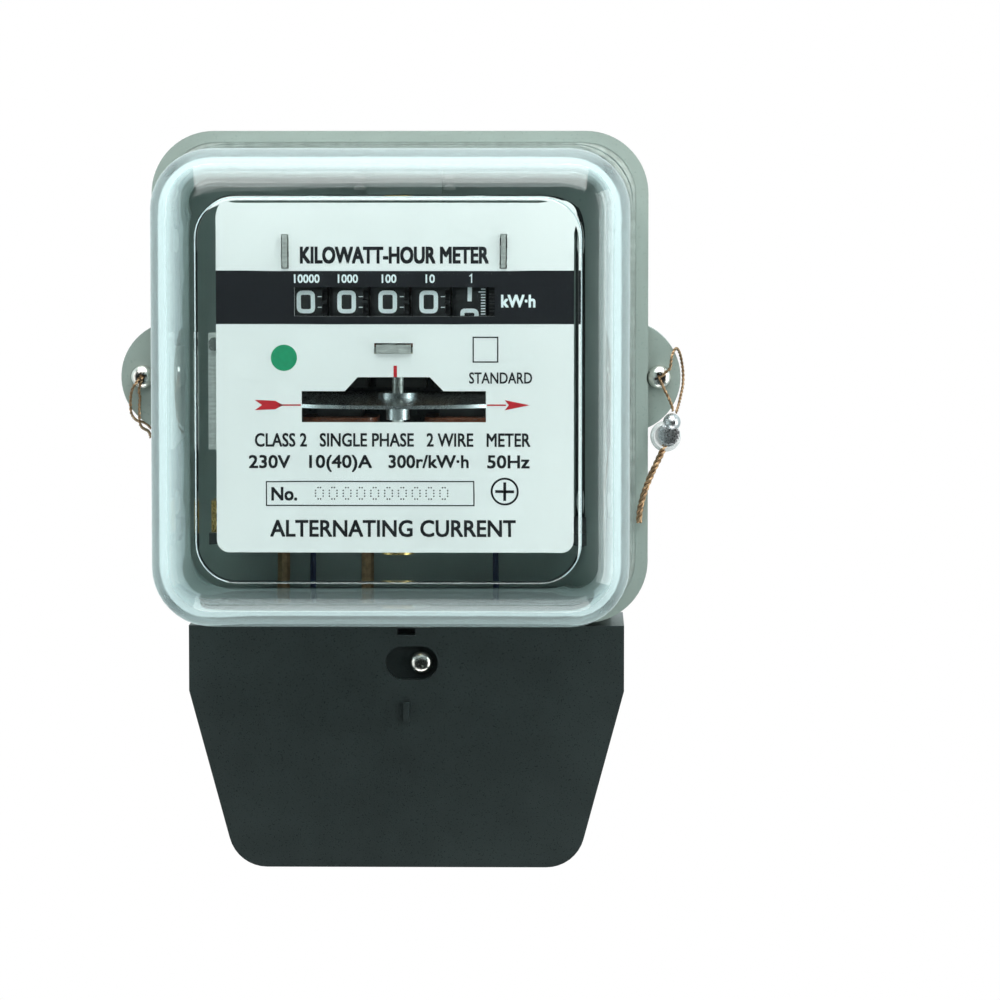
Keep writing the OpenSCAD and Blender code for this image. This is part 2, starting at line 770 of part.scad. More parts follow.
module glass_body(inset, back) {
    roll = glass_roll - inset;
    start_half = glass_flat + glass_roll;
    hull() {
        glass_level(back, glass_half - inset, 15 - inset, $fn = 32);
        for (a = [0, 30, 60, 90])
            glass_level(roll_start + roll * sin(a), start_half - inset - roll * (1 - cos(a)),
                14.7 - inset - (4.7 - inset / 2) * (1 - cos(a)), $fn = 32);
    }
}

module glass_cover() {
    color("#a9d2cf", 0.45) difference() {
        union() {
            glass_body(0, flange_back + 0.1);
            front(flange_back, lip_back)
                round_rect(ring_w - 2 * skirt_t - 0.8, ring_h - 2 * skirt_t - 0.8, ring_r - 2);
        }
        glass_body(glass_t, flange_back - 1);
    }
}

module cover_screws() {
    color("#d5d9d6") for (side = [-1, 1])
        screw_y(side * lug_screw_x, 0, 1.9, 3.15, 12, lug_front, lug_front + 2.4);
}

module seal_wire_right() {
    color("#a8673c") {
        wire(right_wire, wire_r);
        wire(right_wire_low, wire_r);
    }
}

module seal_tail_right() {
    color("#a8673c") wire(right_tail, tail_r);
}

// A crimped seal: a round body with a knob on its face.
module seal_right() {
    color("#8d9196") {
        rod_y(68, -15, 3.9, 36.2, 39.6);
        translate([69.6, -38.6, -11.3]) sphere(2.3);
        rod_y(66.7, -18.4, 1.3, 36.4, 40.6);
    }
}

module seal_wire_left() {
    color("#a8673c") {
        wire(left_wire, wire_r);
        wire(left_wire_low, wire_r);
    }
}

module seal_left() {
    color("#8d9196") translate([-64.6, -16, -18.4]) rotate([0, 90, 0])
        cylinder(r = 4, h = 2, center = true);
}

// ---------------------------------------------------------------- terminal cover

module terminal_cover() {
    color("#34403f") difference() {
        union() {
            front(0.4, ring_front) term_outline(0, term_top);
            front(ring_front, ring_front + 0.8)
                translate([term_x - 0.8, -88.7]) square([1.6, 5.2]);
        }
        difference() {
            front(-1, ring_front - term_wall) term_outline(term_wall, term_top - term_wall);
            front(recess_floor - 3, ring_front) {
                translate([recess_x, seal_screw_z - 6.3]) square([seal_screw_x - recess_x, 12.6]);
                for (x = [recess_x, seal_screw_x]) translate([x, seal_screw_z]) circle(6.3);
            }
        }
        front(recess_floor, ring_front + 1) {
            translate([recess_x, seal_screw_z - 4.3]) square([seal_screw_x - recess_x, 8.6]);
            for (x = [recess_x, seal_screw_x]) translate([x, seal_screw_z]) circle(4.3);
        }
        rod_y(seal_screw_x, seal_screw_z, 2, 20, ring_front);
        front(ring_front - 4, ring_front + 1) translate([term_x - 2.3, -66.2]) square([4.6, 1.6]);
        block(term_x - 39, term_x + 39, -1, neck_front + 0.6, term_top - 4, term_top + 1);
        block(term_x - term_half + term_wall, term_x + term_half - term_wall, -1, floor_front + gap,
            term_top - 4, term_top + 1);
        block(term_x - 38, term_x + 38, -1, 26, term_bottom - 1, term_bottom + 6);
    }
}

module terminal_cover_screw() {
    color("#d5d9d6") screw_y(seal_screw_x, seal_screw_z, 1.9, 3.15, 24.5, recess_floor + 0.1,
        recess_floor + 2.7);
}

base_shell();
hanger_bracket();
hanger_rivets();
terminal_block();
terminal_block_screws();
terminal_sleeves();
terminal_screws();
neutral_bar();
voltage_link();
chassis();
chassis_screws();
voltage_core();
coil_bobbin();
voltage_coil();
current_core();
current_coils();
current_leads();
voltage_leads();
core_screws();
magnet_yoke();
brake_magnets();
yoke_screws();
lag_adjuster();
lower_bearing();
upper_bearing();
nameplate();
register_frame();
register_screws();
drum_shaft();
transfer_shaft();
cover_ring();
cover_gasket();
glass_cover();
cover_screws();
seal_wire_right();
seal_tail_right();
seal_right();
seal_wire_left();
seal_left();
terminal_cover();
terminal_cover_screw();
rotor_disc();
disc_hub();
rotor_spindle();
rotor_worm();
worm_wheel();
first_arbor();
second_gear();
second_arbor();
drum(0);  // drum_units
drum(1);  // drum_tens
drum(2);  // drum_hundreds
drum(3);  // drum_thousands
drum(4);  // drum_ten_thousands
transfer_pinion(1);  // transfer_pinion_1
transfer_pinion(2);  // transfer_pinion_2
transfer_pinion(3);  // transfer_pinion_3
transfer_pinion(4);  // transfer_pinion_4
light_load_lever();
full_load_screw();
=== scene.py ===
"""Looks of the induction watt-hour meter: smooth shells, printed plate, drums, wires and materials."""
import json
import math

import bmesh
import bpy
from mathutils import Matrix, Vector


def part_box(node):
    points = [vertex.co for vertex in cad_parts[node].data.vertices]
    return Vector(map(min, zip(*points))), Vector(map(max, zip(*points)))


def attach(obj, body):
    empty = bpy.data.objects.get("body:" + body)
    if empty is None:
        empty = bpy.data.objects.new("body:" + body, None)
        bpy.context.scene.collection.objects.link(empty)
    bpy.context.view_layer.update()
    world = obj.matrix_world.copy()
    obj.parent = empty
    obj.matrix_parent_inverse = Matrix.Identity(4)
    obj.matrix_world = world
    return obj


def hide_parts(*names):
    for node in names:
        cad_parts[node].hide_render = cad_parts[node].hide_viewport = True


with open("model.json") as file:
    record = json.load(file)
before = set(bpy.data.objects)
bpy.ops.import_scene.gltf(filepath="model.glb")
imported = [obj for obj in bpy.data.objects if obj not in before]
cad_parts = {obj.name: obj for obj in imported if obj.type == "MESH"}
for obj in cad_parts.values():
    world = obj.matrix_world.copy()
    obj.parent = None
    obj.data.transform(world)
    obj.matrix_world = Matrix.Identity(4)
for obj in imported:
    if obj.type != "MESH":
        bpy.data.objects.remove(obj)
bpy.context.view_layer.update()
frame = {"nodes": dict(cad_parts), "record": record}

MM = 0.001
PLATE_LOW, PLATE_HIGH = (Vector(c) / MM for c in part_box("nameplate"))
PLATE_DEPTH = -PLATE_LOW.y
DRUM_NODES = ["drum_units", "drum_tens", "drum_hundreds", "drum_thousands", "drum_ten_thousands"]


def at(x, depth, z):
    """A point given in millimetres as x, distance in front of the wall, and height."""
    return Vector((x, -depth, z)) * MM


# ------------------------------------------------------------------ materials

def links(tree, *pairs):
    """Joins each pair of sockets."""
    for out, into in pairs:
        tree.links.new(out, into)


def shade(colour, factor):
    """The colour made lighter or darker, as RGBA."""
    return [min(1.0, c * factor) for c in colour[:3]] + [1.0]


def finish(name, colour, rough=0.4, metal=0.0, vary=0.1, scale=300.0, grain=2500.0, bump=0.08,
           rough_vary=0.12, stretch=(1, 1, 1), coat=0.0, bands=None):
    """A surface whose colour, roughness and fine relief wander; bands = (pitch in metres, axis)."""
    mat = bpy.data.materials.new(name)
    mat.use_nodes = True
    tree = mat.node_tree
    new = tree.nodes.new
    bsdf = tree.nodes["Principled BSDF"]
    bsdf.inputs["Metallic"].default_value = metal
    bsdf.inputs["Coat Weight"].default_value = coat
    bsdf.inputs["Coat Roughness"].default_value = 0.12

    where = new("ShaderNodeTexCoord")
    mapping = new("ShaderNodeMapping")
    mapping.inputs["Scale"].default_value = stretch
    links(tree, (where.outputs["Object"], mapping.inputs["Vector"]))

    broad = new("ShaderNodeTexNoise")
    broad.inputs["Scale"].default_value = scale
    broad.inputs["Detail"].default_value = 5.0
    fine = new("ShaderNodeTexNoise")
    fine.inputs["Scale"].default_value = grain
    fine.inputs["Detail"].default_value = 3.0
    for noise in (broad, fine):
        links(tree, (mapping.outputs["Vector"], noise.inputs["Vector"]))

    ramp = new("ShaderNodeValToRGB")
    ramp.color_ramp.elements[0].position = 0.3
    ramp.color_ramp.elements[0].color = shade(colour, 1 - vary)
    ramp.color_ramp.elements[1].position = 0.7
    ramp.color_ramp.elements[1].color = shade(colour, 1 + vary)
    spread = new("ShaderNodeMapRange")
    spread.inputs["From Min"].default_value = 0.3
    spread.inputs["From Max"].default_value = 0.7
    spread.inputs["To Min"].default_value = max(0.02, rough - rough_vary)
    spread.inputs["To Max"].default_value = min(1.0, rough + rough_vary)
    relief = new("ShaderNodeBump")
    relief.inputs["Strength"].default_value = bump
    relief.inputs["Distance"].default_value = 0.0002
    links(tree,
          (broad.outputs["Fac"], ramp.inputs["Fac"]), (ramp.outputs["Color"], bsdf.inputs["Base Color"]),
          (fine.outputs["Fac"], spread.inputs["Value"]), (spread.outputs["Result"], bsdf.inputs["Roughness"]),
          (fine.outputs["Fac"], relief.inputs["Height"]), (relief.outputs["Normal"], bsdf.inputs["Normal"]))
    if bands:
        add_bands(tree, where, relief, ramp, bsdf, *bands)
    return mat


def add_bands(tree, where, relief, ramp, bsdf, pitch, axis):
    """Fine parallel lines, as on a stack of laminations or a layer of wire."""
    wave = tree.nodes.new("ShaderNodeTexWave")
    wave.bands_direction = axis
    wave.inputs["Scale"].default_value = 0.05 * 2 * math.pi / pitch
    darken = tree.nodes.new("ShaderNodeMix")
    darken.data_type = "RGBA"
    darken.blend_type = "MULTIPLY"
    darken.inputs["Factor"].default_value = 0.6
    edge = tree.nodes.new("ShaderNodeBump")
    edge.inputs["Strength"].default_value = 0.6
    edge.inputs["Distance"].default_value = 0.0001
    links(tree,
          (where.outputs["Object"], wave.inputs["Vector"]),
          (ramp.outputs["Color"], darken.inputs["A"]), (wave.outputs["Color"], darken.inputs["B"]),
          (darken.outputs["Result"], bsdf.inputs["Base Color"]),
          (wave.outputs["Fac"], edge.inputs["Height"]), (relief.outputs["Normal"], edge.inputs["Normal"]),
          (edge.outputs["Normal"], bsdf.inputs["Normal"]))


# Distance from the middle where milkiness starts and is full, and the clearness at each
MILKY_EDGE = (0.0470, 0.0600, 1.0, 0.88)


def pressed_glass(name):
    """Clear pressed glass, sea green along its thickness and a little milky around its front panel."""
    mat = bpy.data.materials.new(name)
    mat.use_nodes = True
    tree = mat.node_tree
    new = tree.nodes.new
    bsdf = tree.nodes["Principled BSDF"]
    bsdf.inputs["Base Color"].default_value = (0.94, 0.99, 0.995, 1)
    bsdf.inputs["Transmission Weight"].default_value = 1.0
    bsdf.inputs["IOR"].default_value = 1.5
    bsdf.inputs["Roughness"].default_value = 0.0
    where = new("ShaderNodeTexCoord")
    ripple = new("ShaderNodeTexNoise")
    ripple.inputs["Scale"].default_value = 45.0
    ripple.inputs["Detail"].default_value = 1.0
    wavy = new("ShaderNodeBump")
    wavy.inputs["Strength"].default_value = 0.12
    wavy.inputs["Distance"].default_value = 0.0006
    axes = new("ShaderNodeSeparateXYZ")
    across, up, from_middle = (new("ShaderNodeMath") for _ in range(3))
    across.operation = up.operation = "ABSOLUTE"
    from_middle.operation = "MAXIMUM"
    clearness = new("ShaderNodeMapRange")
    clearness.interpolation_type = "SMOOTHSTEP"
    for name, value in zip(("From Min", "From Max", "To Min", "To Max"), MILKY_EDGE):
        clearness.inputs[name].default_value = value
    clear = new("ShaderNodeBsdfTransparent")
    clear.inputs["Color"].default_value = (0.85, 0.83, 0.82, 1)
    path = new("ShaderNodeLightPath")
    mix = new("ShaderNodeMixShader")
    depth = new("ShaderNodeVolumeAbsorption")
    depth.inputs["Color"].default_value = (0.66, 0.93, 0.95, 1)
    depth.inputs["Density"].default_value = 32.0
    out = tree.nodes["Material Output"]
    links(tree,
          (where.outputs["Object"], ripple.inputs["Vector"]), (ripple.outputs["Fac"], wavy.inputs["Height"]),
          (where.outputs["Object"], axes.inputs["Vector"]), (axes.outputs["X"], across.inputs[0]),
          (axes.outputs["Z"], up.inputs[0]), (across.outputs["Value"], from_middle.inputs[0]),
          (up.outputs["Value"], from_middle.inputs[1]),
          (from_middle.outputs["Value"], clearness.inputs["Value"]),
          (clearness.outputs["Result"], bsdf.inputs["Transmission Weight"]),
          (wavy.outputs["Normal"], bsdf.inputs["Normal"]), (path.outputs["Is Shadow Ray"], mix.inputs["Fac"]),
          (bsdf.outputs["BSDF"], mix.inputs[1]), (clear.outputs["BSDF"], mix.inputs[2]),
          (mix.outputs["Shader"], out.inputs["Surface"]), (depth.outputs["Volume"], out.inputs["Volume"]))
    return mat


MATERIALS = {
    "case_enamel": finish("case_enamel", (0.31, 0.38, 0.35), 0.36, coat=0.25, vary=0.06, scale=60,
                          grain=1400, bump=0.12),
    # Near black for the chassis: partly the chassis's own black paint, partly painted shade that darkens the
    # inside of the case behind the nameplate.
    "black_enamel": finish("black_enamel", (0.014, 0.017, 0.017), 0.35, vary=0.2, scale=90, grain=1400,
                           bump=0.12),
    "dark_moulding": finish("dark_moulding", (0.030, 0.041, 0.041), 0.36, vary=0.12, scale=90,
                            grain=3200, bump=0.1),
    "bakelite": finish("bakelite", (0.03, 0.022, 0.018), 0.3, vary=0.3, scale=220, bump=0.05),
    "cover_glass": pressed_glass("cover_glass"),
    "nickel": finish("nickel", (0.74, 0.74, 0.70), 0.17, metal=1.0, vary=0.12, scale=900, grain=5000,
                     bump=0.15, rough_vary=0.08),
    "zinc_steel": finish("zinc_steel", (0.62, 0.64, 0.61), 0.42, metal=0.9, vary=0.18, scale=260,
                         stretch=(1, 1, 6), bump=0.12),
    "brass": finish("brass", (0.62, 0.44, 0.17), 0.28, metal=1.0, vary=0.15, scale=350, bump=0.1),
    "aluminium": finish("aluminium", (0.70, 0.74, 0.75), 0.26, metal=1.0, vary=0.08, scale=500,
                        stretch=(1, 1, 12), bump=0.1),
    "core_steel": finish("core_steel", (0.16, 0.16, 0.155), 0.42, metal=0.8, vary=0.2, scale=180,
                         bump=0.1, bands=(0.0005, "Y")),
    "magnet": finish("magnet", (0.085, 0.09, 0.09), 0.5, metal=0.4, vary=0.25, scale=300, bump=0.35),
    "copper": finish("copper", (0.36, 0.24, 0.14), 0.42, metal=1.0, vary=0.25, scale=700, bump=0.12),
    "coil_wire": finish("coil_wire", (0.28, 0.08, 0.035), 0.3, vary=0.2, scale=500, coat=0.4,
                        bands=(0.0004, "Z")),
    "insulation": finish("insulation", (0.015, 0.03, 0.09), 0.45, vary=0.1, scale=500, bump=0.05),
    "bobbin": finish("bobbin", (0.62, 0.56, 0.42), 0.45, vary=0.1, scale=200, bump=0.08),
    "rubber": finish("rubber", (0.40, 0.46, 0.43), 0.6, vary=0.2, scale=400, bump=0.2),
    "nameplate": finish("nameplate", (0.80, 0.80, 0.79), 0.42, vary=0.025, scale=40, grain=1800,
                        bump=0.04, coat=0.15),
    "drum_black": finish("drum_black", (0.012, 0.013, 0.014), 0.42, vary=0.3, scale=600, bump=0.06),
    "pale_plastic": finish("pale_plastic", (0.68, 0.66, 0.58), 0.4, vary=0.06, scale=300, bump=0.05),
    "seal_metal": finish("seal_metal", (0.56, 0.58, 0.60), 0.3, metal=1.0, vary=0.25, scale=900,
                         bump=0.4),
}
INK_BLACK = finish("ink_black", (0.004, 0.0045, 0.007), 0.4, vary=0.2, scale=900, bump=0.03)
INK_RED = finish("ink_red", (0.46, 0.012, 0.02), 0.4, vary=0.12, scale=900, bump=0.03)
INK_GREEN = finish("ink_green", (0.012, 0.26, 0.12), 0.4, vary=0.12, scale=900, bump=0.03)
INK_WHITE = finish("ink_white", (0.80, 0.86, 0.87), 0.4, vary=0.05, scale=900, bump=0.03)
SEAL_CLEAR = finish("seal_clear", (0.72, 0.74, 0.74), 0.25, vary=0.1, scale=700, bump=0.1, coat=0.5)


def dress(obj, slot_name, body, *nodes, material=None):
    """Gives a new piece its material and its body, and hides the CAD nodes that it stands for."""
    obj.data.materials.clear()
    obj.data.materials.append(material or MATERIALS[slot_name])
    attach(obj, body)
    if nodes:
        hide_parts(*nodes)
    return obj


def dress_cad_nodes():
    """Every CAD node takes the material of its slot."""
    for part in frame["record"]["subparts"]:
        data = frame["nodes"][part["node"]].data
        data.materials.clear()
        data.materials.append(MATERIALS[part["material_slot"]])


# ------------------------------------------------------------------ mesh helpers

def mesh_object(name, points, faces, smooth=30):
    """A mesh piece from points in metres; faces meeting at less than the angle are smooth."""
    mesh = bpy.data.meshes.new(name)
    mesh.from_pydata([tuple(p) for p in points], [], faces)
    bm = bmesh.new()
    bm.from_mesh(mesh)
    bmesh.ops.recalc_face_normals(bm, faces=bm.faces)
    bm.to_mesh(mesh)
    bm.free()
    if smooth:
        mesh.shade_smooth()
        mesh.set_sharp_from_angle(angle=math.radians(smooth))
    obj = bpy.data.objects.new(name, mesh)
    bpy.context.scene.collection.objects.link(obj)
    return obj


def rounded_loop(half_x, half_z, radius, depth, per_corner=10, per_side=4):
    """A closed loop of points around a rounded rectangle, in millimetres."""
    flat_x = half_x - radius
    flat_z = half_z - radius
    corners = [(flat_x, flat_z), (-flat_x, flat_z), (-flat_x, -flat_z), (flat_x, -flat_z)]
    loop = []
    for quarter, (cx, cz) in enumerate(corners):
        for i in range(per_corner + 1):
            a = math.pi / 2 * (quarter + i / per_corner)
            loop.append((cx + radius * math.cos(a), depth, cz + radius * math.sin(a)))
        nx, nz = corners[(quarter + 1) % 4]
        a = math.pi / 2 * (quarter + 1)
        for i in range(1, per_side):
            t = i / per_side
            loop.append((cx + (nx - cx) * t + radius * math.cos(a), depth,
                         cz + (nz - cz) * t + radius * math.sin(a)))
    return loop


def loft(name, loops, cap_first=True, cap_last=True, join_ends=False, smooth=30):
    """A skin through loops that all have the same number of points."""
    count = len(loops[0])
    points = [at(*p) for loop in loops for p in loop]
    rows = len(loops) if join_ends else len(loops) - 1
    faces = []
    for row in range(rows):
        a = row * count
        b = ((row + 1) % len(loops)) * count
        faces += [(a + i, a + (i + 1) % count, b + (i + 1) % count, b + i) for i in range(count)]
    if cap_first and not join_ends:
        faces.append(tuple(range(count)))
    if cap_last and not join_ends:
        faces.append(tuple((len(loops) - 1) * count + i for i in range(count)))
    return mesh_object(name, points, faces, smooth)


def lathe(name, profile, centre, toward=(0, -1, 0), steps=48, smooth=35):
    """A solid of revolution; the profile is (radius, height) in mm from one axis end to the other."""
    turn = Vector((0, 0, 1)).rotation_difference(Vector(toward)).to_matrix()
    points = []
    for r, height in profile:
        for i in range(steps):
            a = 2 * math.pi * i / steps
            points.append(centre + turn @ (Vector((r * math.cos(a), r * math.sin(a), height)) * MM))
    rows = len(profile)
    faces = [(row * steps + i, row * steps + (i + 1) % steps, (row + 1) * steps + (i + 1) % steps,
              (row + 1) * steps + i) for row in range(rows - 1) for i in range(steps)]
    faces.append(tuple(range(steps)))
    faces.append(tuple((rows - 1) * steps + i for i in range(steps)))
    return mesh_object(name, points, faces, smooth)


def cut(obj, cutter, mode="DIFFERENCE", smooth=30):
    """Applies a boolean with a helper solid and removes the helper."""
    tool = obj.modifiers.new("cut", "BOOLEAN")
    tool.operation = mode
    tool.solver = "EXACT"
    tool.object = cutter
    graph = bpy.context.evaluated_depsgraph_get()
    result = bpy.data.meshes.new_from_object(obj.evaluated_get(graph))
    obj.modifiers.clear()
    obj.data = result
    bpy.data.objects.remove(cutter)
    result.shade_smooth()
    result.set_sharp_from_angle(angle=math.radians(smooth))
    return obj


def join(name, parts):
    """One mesh piece from several."""
    bm = bmesh.new()
    for part in parts:
        bm.from_mesh(part.data)
        bpy.data.objects.remove(part)
    mesh = bpy.data.meshes.new(name)
    bm.to_mesh(mesh)
    bm.free()
    mesh.set_sharp_from_angle(angle=math.radians(30))
    obj = bpy.data.objects.new(name, mesh)
    bpy.context.scene.collection.objects.link(obj)
    return obj


def smooth_route(points, steps=8):
    """A Catmull-Rom curve through points in metres."""
    ends = [2 * points[0] - points[1]] + list(points) + [2 * points[-1] - points[-2]]
    route = []
    for i in range(1, len(ends) - 2):
        a, b, c, d = ends[i - 1:i + 3]
        for k in range(steps):
            t = k / steps
            route.append(0.5 * (2 * b + (c - a) * t + (2 * a - 5 * b + 4 * c - d) * t * t
                                + (3 * b - a - 3 * c + d) * t ** 3))
    route.append(points[-1].copy())
    return route


def tube(name, route, radius, sides=8):
    """A round wire along a route in metres, with a frame carried along it without twist."""
    ways = [(route[min(i + 1, len(route) - 1)] - route[max(i - 1, 0)]).normalized()
            for i in range(len(route))]
    side = ways[0].orthogonal().normalized()
    points = []
    for i, p in enumerate(route):
        if i:
            side = (ways[i - 1].rotation_difference(ways[i]).to_matrix() @ side).normalized()
        up = ways[i].cross(side)
        for k in range(sides):
            a = 2 * math.pi * k / sides
            points.append(p + radius * (math.cos(a) * side + math.sin(a) * up))
    faces = [(i * sides + k, i * sides + (k + 1) % sides, (i + 1) * sides + (k + 1) % sides,
              (i + 1) * sides + k) for i in range(len(route) - 1) for k in range(sides)]
    faces.append(tuple(range(sides)))
    faces.append(tuple((len(route) - 1) * sides + k for k in range(sides)))
    return mesh_object(name, points, faces, 60)


def twisted(name, route, radius, strands=2, pitch=0.0022):
    """Strands wound round each other along a route in metres, inside the radius given."""
    route = smooth_route(route, 14)
    strand_r = radius / 2 if strands == 2 else radius * 0.46
    ways = [(route[min(i + 1, len(route) - 1)] - route[max(i - 1, 0)]).normalized()
            for i in range(len(route))]
    side = ways[0].orthogonal().normalized()
    gone = 0.0
    paths = [[] for _ in range(strands)]
    for i, p in enumerate(route):
        if i:
            side = (ways[i - 1].rotation_difference(ways[i]).to_matrix() @ side).normalized()
            gone += (p - route[i - 1]).length
        up = ways[i].cross(side)
        for s in range(strands):
            a = 2 * math.pi * (gone / pitch + s / strands)
            paths[s].append(p + (radius - strand_r) * (math.cos(a) * side + math.sin(a) * up))
    return join(name, [tube(f"{name}_{s}", path, strand_r, 6) for s, path in enumerate(paths)])


# ------------------------------------------------------------------ glass and case

GLASS_LOW, GLASS_HIGH = (Vector(c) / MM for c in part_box("glass_cover"))
GLASS_FRONT = -GLASS_LOW.y
GLASS_BACK = -GLASS_HIGH.y
GLASS_THICK = 3.8
GLASS_FLANGE = (GLASS_HIGH.x, GLASS_HIGH.z)
GLASS_FOOT = 59.6
GLASS_FLAT = 46.2
GLASS_ROLL = 12.0


def glass_levels(inset):
    """Half width, corner radius and depth of the glass wall's levels, from back to front."""
    roll = GLASS_ROLL - inset
    start = GLASS_FRONT - GLASS_ROLL
    start_half = GLASS_FLAT + GLASS_ROLL
    levels = [(GLASS_FOOT - inset, 15 - inset, GLASS_BACK + 3.4)]
    levels += [(GLASS_FOOT - inset - 1.4 * t, 15 - inset - 0.3 * t, GLASS_BACK + 3.4
                + (start - GLASS_BACK - 3.4) * t) for t in (0.02, 0.35, 0.7, 0.97, 1)]
    for i in range(1, 11):
        a = math.radians(8 * i)
        shrink = 1 - math.cos(a)
        levels.append((start_half - inset - roll * shrink, 14.7 - inset - (4.5 - inset / 2) * shrink,
                       start + roll * math.sin(a)))
    return levels


def build_glass():
    """The glass cover: flange, slightly drafted walls, rolled edge and a flat front panel."""
    loops = [rounded_loop(GLASS_FOOT - GLASS_THICK, GLASS_FOOT - GLASS_THICK, 11.2, GLASS_BACK)]
    for depth in (GLASS_BACK, GLASS_BACK + 0.3, GLASS_BACK + 3.0, GLASS_BACK + 3.3):
        trim = 0.3 if depth in (GLASS_BACK, GLASS_BACK + 3.3) else 0.0
        loops.append(rounded_loop(GLASS_FLANGE[0] - trim, GLASS_FLANGE[1] - trim, 14 - trim, depth))
    for half, r, depth in glass_levels(0.0):
        loops.append(rounded_loop(half, half, r, depth))
    edge = glass_levels(0.0)[-1]
    foot = edge[2] + 0.02
    panel = [(GLASS_FLAT + 0.75, 10.2, foot), (GLASS_FLAT + 0.35, 9.9, foot + 0.12),
             (GLASS_FLAT + 0.1, 9.7, GLASS_FRONT - 0.25), (GLASS_FLAT - 0.2, 9.5, GLASS_FRONT - 0.06),
             (GLASS_FLAT - 0.6, 9.2, GLASS_FRONT), (GLASS_FLAT - 1.4, 8.6, GLASS_FRONT)]
    loops += [rounded_loop(half, half, r, depth) for half, r, depth in panel]
    loops.append(rounded_loop(8, 8, 3, GLASS_FRONT))
    inner_front = GLASS_FRONT - GLASS_THICK
    loops.append(rounded_loop(8, 8, 3, inner_front))
    inner = glass_levels(GLASS_THICK)
    loops.append(rounded_loop(inner[-1][0] - 1.5, inner[-1][0] - 1.5, 6.5, inner_front))
    loops += [rounded_loop(half, half, r, depth) for half, r, depth in reversed(inner)]
    count = len(loops[0])
    split = len(loops) - len(inner) - 2
    skin = loft("glass_shell", loops, cap_first=False, cap_last=False, join_ends=True, smooth=50)
    bm = bmesh.new()
    bm.from_mesh(skin.data)
    bm.verts.ensure_lookup_table()
    between = set(range((split - 1) * count, (split + 1) * count))
    tunnel = [f for f in bm.faces if all(v.index in between for v in f.verts)]
    bmesh.ops.delete(bm, geom=tunnel, context="FACES_ONLY")
    bmesh.ops.holes_fill(bm, edges=[e for e in bm.edges if e.is_boundary])
    bmesh.ops.recalc_face_normals(bm, faces=bm.faces)
    bm.to_mesh(skin.data)
    bm.free()
    skin.data.shade_smooth()
    skin.data.set_sharp_from_angle(angle=math.radians(50))
    dress(skin, "cover_glass", "main_cover", "glass_cover")


def soften(node, width, segments=3, angle=40):
    """Rounds the edges of a CAD node by a bevel modifier."""
    bevel = frame["nodes"][node].modifiers.new("edge", "BEVEL")
    bevel.width = width * MM
    bevel.segments = segments
    bevel.limit_method = "ANGLE"
    bevel.angle_limit = math.radians(angle)
    bevel.harden_normals = True
    bevel.use_clamp_overlap = True


# ------------------------------------------------------------------ nameplate printing

INK = 0.03
CAP_HEIGHT = 0.729


class Print:
    """Flat closed shapes of ink on the nameplate, gathered into one mesh piece."""

    def __init__(self, name, material):
        self.name = name
        self.material = material
        self.bm = bmesh.new()

    def outline(self, points):
        """A filled outline, given as (x, z) in millimetres."""
        front = [self.bm.verts.new(at(x, PLATE_DEPTH + INK, z)) for x, z in points]
        back = [self.bm.verts.new(at(x, PLATE_DEPTH, z)) for x, z in points]
        self.bm.faces.new(front)
        self.bm.faces.new(list(reversed(back)))
        for i in range(len(points)):
            j = (i + 1) % len(points)
            self.bm.faces.new((front[i], back[i], back[j], front[j]))

    def box(self, x0, x1, z0, z1):
        self.outline([(x0, z0), (x1, z0), (x1, z1), (x0, z1)])

    def stroke(self, points, width, closed=False):
        """A line of even width through points, mitred at the corners."""
        self.band(*offset_sides(points, width, closed), closed)

    def band(self, left, right, closed):
        last = len(left) if closed else len(left) - 1
        for i in range(last):
            j = (i + 1) % len(left)
            self.outline([left[i], left[j], right[j], right[i]])

    def text(self, words, x, z, height, width, weight=0.0):
        """Words centred on a point, fitted to a capital height and a width; weight thickens them."""
        curve = bpy.data.curves.new("words", "FONT")
        curve.body = words
        curve.resolution_u = 3
        obj = bpy.data.objects.new("words", curve)
        bpy.context.scene.collection.objects.link(obj)
        graph = bpy.context.evaluated_depsgraph_get()
        outline = bpy.data.meshes.new_from_object(obj.evaluated_get(graph))
        bpy.data.objects.remove(obj)
        xs = [v.co.x for v in outline.vertices]
        scale_z = (height - weight) / CAP_HEIGHT
        scale_x = (width - weight) / (max(xs) - min(xs))
        mid = (max(xs) + min(xs)) / 2
        shifts = [(-1, -1), (1, -1), (-1, 1), (1, 1)] if weight else [(0, 0)]
        for layer, (right, up) in enumerate(shifts):
            mesh = outline.copy()
            for v in mesh.vertices:
                v.co = at(x + (v.co.x - mid) * scale_x + right * weight / 2,
                          PLATE_DEPTH + INK + 0.003 * layer,
                          z + (v.co.y - CAP_HEIGHT / 2) * scale_z + up * weight / 2)
            self.bm.from_mesh(mesh)

    def done(self):
        mesh = bpy.data.meshes.new(self.name)
        self.bm.to_mesh(mesh)
        self.bm.free()
        obj = bpy.data.objects.new(self.name, mesh)
        bpy.context.scene.collection.objects.link(obj)
        dress(obj, "nameplate", "meter_base", material=self.material)


def offset_sides(points, width, closed):
    """The two edges of a mitred line of even width."""
    left, right = [], []
    count = len(points)
    for i, p in enumerate(points):
        before = points[(i - 1) % count] if closed or i else None
        after = points[(i + 1) % count] if closed or i < count - 1 else None
        ways = [Vector(b) - Vector(a) for a, b in ((before, p), (p, after)) if a and b]
        normals = [Vector((-w.y, w.x)).normalized() for w in ways]
        across = sum(normals, Vector((0, 0))).normalized()
        across *= width / 2 / max(0.4, across.dot(normals[0]))
        left.append((p[0] + across.x, p[1] + across.y))
        right.append((p[0] - across.x, p[1] - across.y))
    return left, right


